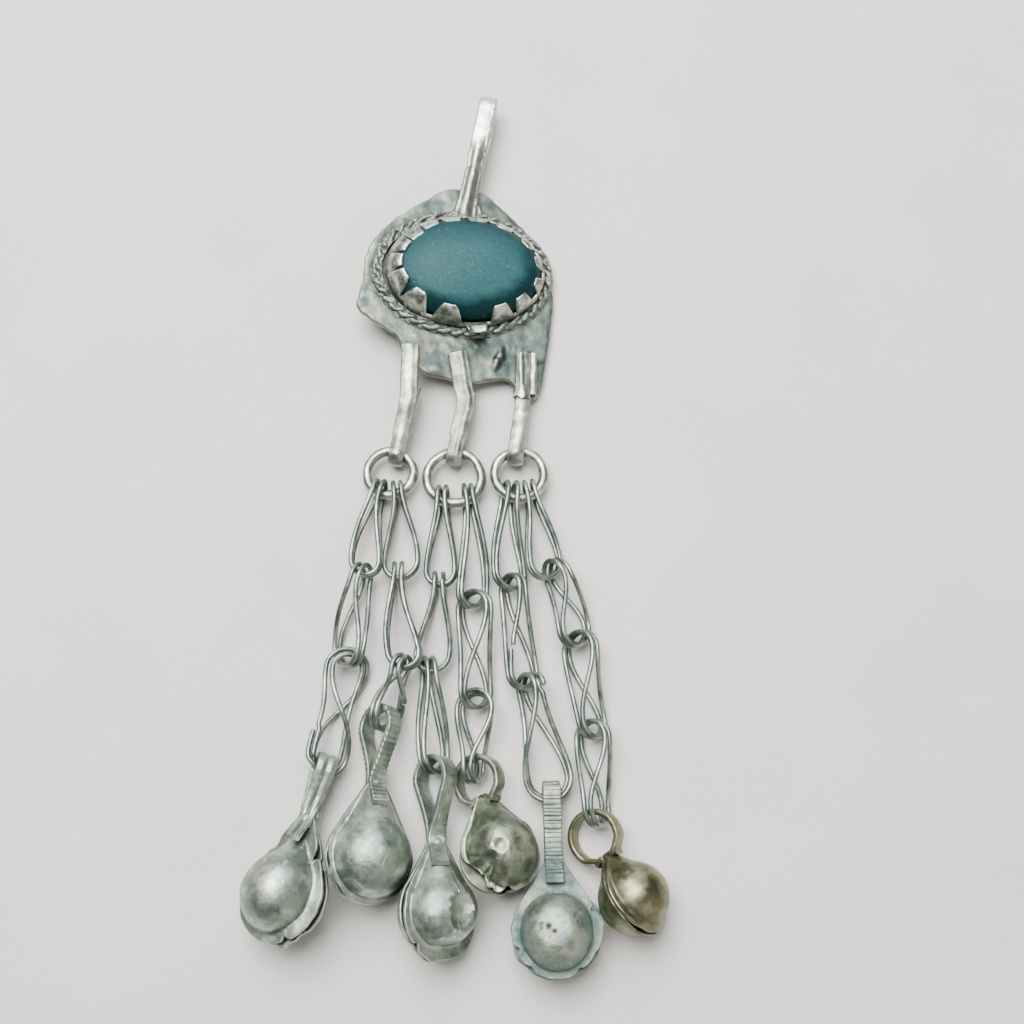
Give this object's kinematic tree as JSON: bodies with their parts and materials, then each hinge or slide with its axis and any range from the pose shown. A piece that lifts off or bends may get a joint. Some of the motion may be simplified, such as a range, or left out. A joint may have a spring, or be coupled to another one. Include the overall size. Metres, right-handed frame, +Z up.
{
  "type": "tassel pendant",
  "caption": "Metal tassel pendant with an oval cabochon in a toothed bezel, a strip bail, and strands of folded wire links that each end in a hollow crotal bell",
  "frame": {"origin": "On the table under the middle of the pendant's bounding box", "axes": "+X to the right seen from the front, +Y towards the bail, +Z up out of the front of the stone"},
  "size_m": [0.0492, 0.1119, 0.0099],
  "materials": {
    "setting_silver": "worn white metal, greyed in the hollows",
    "wire_silver": "worn white metal wire",
    "bell_silver": "worn white metal, dented, with some green tarnish",
    "bell_brass": "dull olive brown brass",
    "stone": "polished opaque blue green stone with fine scratches"
  },
  "bodies": {
    "root": {"setting": "setting_silver", "stone": "stone", "ring_left": "wire_silver", "ring_middle": "wire_silver", "ring_right": "wire_silver", "link_a1": "wire_silver", "link_a2": "wire_silver", "link_a3": "wire_silver", "link_b1": "wire_silver", "link_b2": "wire_silver", "link_b3": "wire_silver", "link_c1": "wire_silver", "link_c2": "wire_silver", "link_c3": "wire_silver", "link_d1": "wire_silver", "link_d2": "wire_silver", "link_d3": "wire_silver", "link_e1": "wire_silver", "link_e2": "wire_silver", "link_e3": "wire_silver", "link_f1": "wire_silver", "link_f2": "wire_silver", "link_f3": "wire_silver", "link_f4": "wire_silver", "bell_1": "bell_silver", "bell_2": "bell_silver", "bell_3": "bell_silver", "bell_4": "bell_brass", "bell_5": "bell_silver", "bell_6": "bell_brass"}
  },
  "joints": []
}
